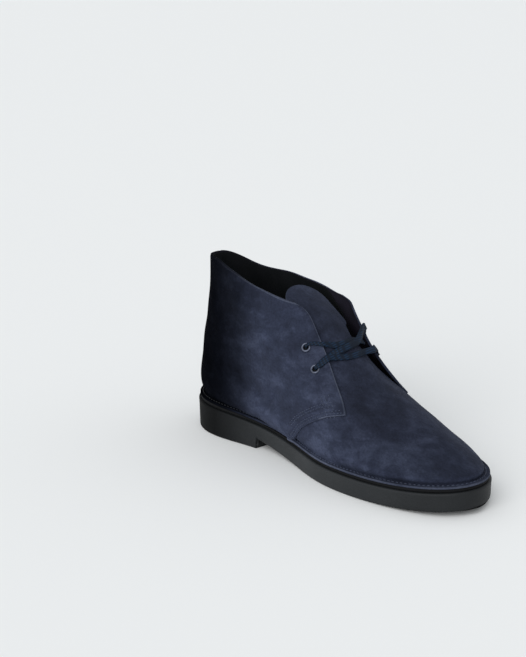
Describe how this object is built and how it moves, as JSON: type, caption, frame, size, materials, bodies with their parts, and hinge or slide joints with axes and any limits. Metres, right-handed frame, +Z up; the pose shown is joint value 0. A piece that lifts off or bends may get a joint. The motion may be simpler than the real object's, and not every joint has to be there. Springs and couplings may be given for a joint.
{
  "type": "chukka boot",
  "caption": "Ankle-high suede chukka boot with an open lace throat, turned-out stitched edge, tongue and low-heeled rubber sole, standing empty on its sole.",
  "frame": {"origin": "on the floor, under the middle of the boot's length and width", "axes": "+X towards the toe, +Y towards the lateral side, -Y towards the medial side, +Z up"},
  "size_m": [0.3, 0.1081, 0.1418],
  "materials": {
    "sole_rubber": "matt moulded rubber",
    "midsole_black": "matt black",
    "suede": "brushed navy suede",
    "insole_leather": "matt black lining leather",
    "lace": "flat woven lace",
    "eyelet_metal": "dark enamelled rolled eyelet"
  },
  "bodies": {
    "root": {"outsole": "sole_rubber", "midsole": "midsole_black", "upper": "suede", "tongue": "suede", "insole": "insole_leather", "lace_bar_lower": "lace", "lace_cross_upper": "lace", "eyelet_medial_upper": "eyelet_metal", "eyelet_medial_lower": "eyelet_metal", "eyelet_lateral_upper": "eyelet_metal", "eyelet_lateral_lower": "eyelet_metal"}
  },
  "joints": []
}
